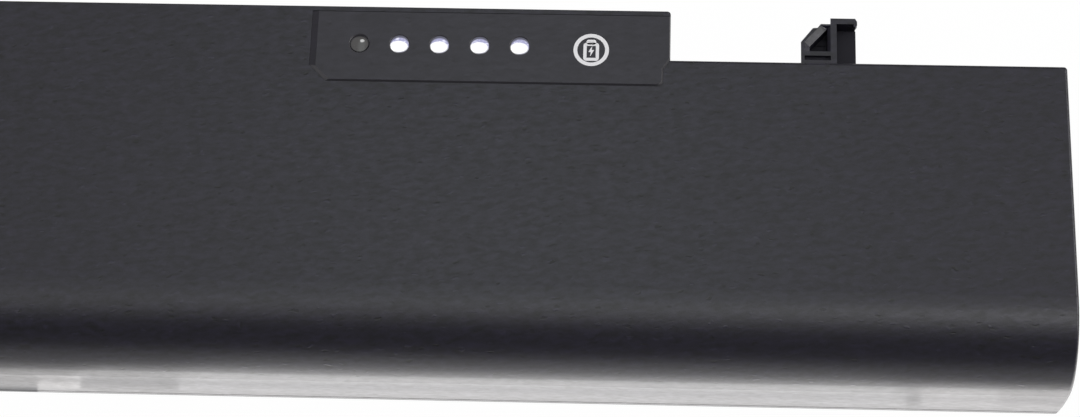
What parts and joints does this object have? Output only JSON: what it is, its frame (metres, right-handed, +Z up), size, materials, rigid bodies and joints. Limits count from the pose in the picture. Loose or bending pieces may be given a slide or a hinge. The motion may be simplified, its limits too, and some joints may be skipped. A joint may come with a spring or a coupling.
{
  "type": "laptop battery pack",
  "caption": "Long black laptop battery pack with a rounded front edge, a raised charge gauge panel and two latch lugs beside a projecting connector section.",
  "frame": {"origin": "centre of the bounding box's underside, on the surface that the pack rests on", "axes": "+X along the pack, to the end beside the charge lights, +Y from the rounded front edge to the connector side that enters the laptop, +Z up through the top face"},
  "size_m": [0.206, 0.052, 0.0213],
  "materials": {
    "case_plastic": "satin, fine moulded texture",
    "panel_plastic": "smooth satin",
    "clear_plastic": "clear, polished stud ends, four of them lit white",
    "light_body": "white moulding",
    "switch_body": "moulded, matt",
    "button_rubber": "moulded silicone",
    "board_laminate": "green solder resist",
    "chip_plastic": "moulded epoxy",
    "chip_ceramic": "fired, matt",
    "connector_plastic": "moulded, matt",
    "contact_metal": "gold plated",
    "nickel": "rolled, satin",
    "cell_sleeve": "shrunk sleeve over a nickel plated steel can",
    "card": "smooth card",
    "tape": "thin amber film",
    "foam": "closed cell foam",
    "red_lead": "extruded insulation",
    "black_lead": "extruded insulation"
  },
  "bodies": {
    "case": {"bonding_tape_1": "tape", "bonding_tape_2": "tape", "bonding_tape_3": "tape", "bottom_cover": "case_plastic", "ceramic_capacitors": "chip_ceramic", "charge_light_1": "light_body", "charge_light_2": "light_body", "charge_light_3": "light_body", "charge_light_4": "light_body", "charge_light_5": "light_body", "charge_transistor": "chip_plastic", "circuit_board": "board_laminate", "connector_block": "connector_plastic", "connector_contacts": "contact_metal", "current_shunt": "nickel", "discharge_transistor": "chip_plastic", "end_pad_left": "foam", "end_pad_right": "foam", "gauge_chip": "chip_plastic", "gauge_panel": "panel_plastic", "gauge_switch": "switch_body", "insulating_card": "card", "light_guide": "clear_plastic", "lithium_cell_1": "cell_sleeve", "lithium_cell_2": "cell_sleeve", "lithium_cell_3": "cell_sleeve", "lithium_cell_4": "cell_sleeve", "lithium_cell_5": "cell_sleeve", "lithium_cell_6": "cell_sleeve", "negative_lead": "black_lead", "negative_strip": "nickel", "positive_lead": "red_lead", "positive_strip": "nickel", "protection_chip": "chip_plastic", "series_strip_1": "nickel", "series_strip_2": "nickel", "thermal_fuse": "chip_plastic", "thermistor": "chip_ceramic", "upper_shell": "case_plastic"},
    "button": {"gauge_button": "button_rubber", "switch_stem": "switch_body"}
  },
  "joints": [
    {"name": "gauge_button_press", "type": "slide", "parent": "case", "child": "button", "axis": [0, 0, -1], "range_m": [0, 0.00025], "stiffness_N_per_m": 6400}
  ]
}
